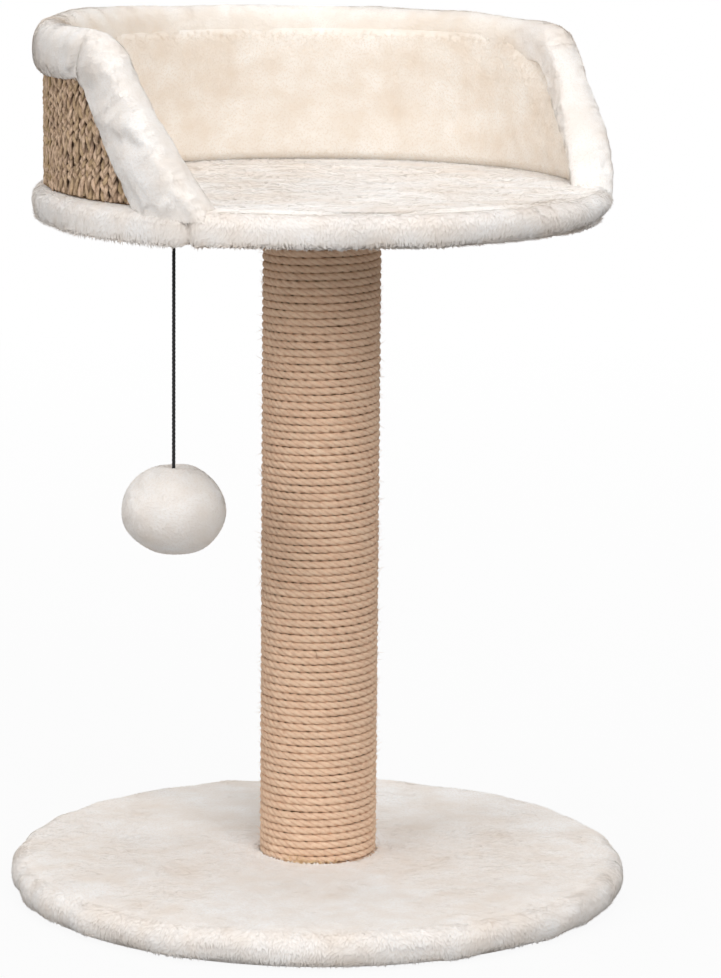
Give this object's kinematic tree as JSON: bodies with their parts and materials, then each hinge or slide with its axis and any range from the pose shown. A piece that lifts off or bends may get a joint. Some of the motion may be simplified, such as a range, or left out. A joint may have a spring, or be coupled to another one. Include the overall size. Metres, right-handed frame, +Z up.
{
  "type": "cat scratching post",
  "caption": "Scratching post: plush round base, rope-wound tube post, open-fronted plush nest with a padded rim on top, and a plush ball that hangs on a string.",
  "frame": {"origin": "on the floor, on the post's axis", "axes": "+Z up along the post; the nest opens towards -Y; +X to the right for someone who faces the opening"},
  "size_m": [0.42, 0.42, 0.5913],
  "materials": {
    "chipboard": "matte",
    "cream_plush": "matte",
    "beige_plush": "matte",
    "felt": "matte",
    "paper_tube": "matte",
    "jute": "matte",
    "softwood": "matte",
    "zinc_steel": "satin",
    "seagrass": "matte",
    "black_string": "matte"
  },
  "bodies": {
    "stand": {"base_board": "chipboard", "base_plush": "cream_plush", "base_liner": "felt", "base_washer": "zinc_steel", "base_bolt": "zinc_steel", "post_tube": "paper_tube", "lower_plug": "softwood", "upper_plug": "softwood", "lower_plug_nut": "zinc_steel", "upper_plug_nut": "zinc_steel", "lower_plug_nail_1": "zinc_steel", "lower_plug_nail_2": "zinc_steel", "lower_plug_nail_3": "zinc_steel", "upper_plug_nail_1": "zinc_steel", "upper_plug_nail_2": "zinc_steel", "upper_plug_nail_3": "zinc_steel", "post_rope": "jute", "seat_stud": "zinc_steel", "seat_nut": "zinc_steel", "seat_board": "chipboard", "seat_plush": "cream_plush", "seat_liner": "felt", "wall_core": "paper_tube", "wall_lining": "beige_plush", "seagrass_mat": "seagrass", "wall_screw_1": "zinc_steel", "wall_screw_2": "zinc_steel", "wall_screw_3": "zinc_steel", "wall_screw_4": "zinc_steel", "wall_screw_5": "zinc_steel", "top_roll": "cream_plush", "left_arm_binding": "cream_plush", "right_arm_binding": "cream_plush", "toy_staple": "zinc_steel"},
    "toy_eye": {"toy_string_eye": "black_string"},
    "toy": {"toy_string": "black_string", "toy_ball": "cream_plush"}
  },
  "joints": [
    {"name": "toy_swing_outward", "type": "hinge", "parent": "stand", "child": "toy_eye", "pos_m": [-0.13584, -0.03387, 0.4609], "axis": [-0.2419, 0.9703, 0], "range_deg": [-21, 70]},
    {"name": "toy_swing_sideways", "type": "hinge", "parent": "toy_eye", "child": "toy", "pos_m": [-0.13584, -0.03387, 0.45627], "axis": [-0.9703, -0.2419, 0], "range_deg": [-70, 70]}
  ]
}
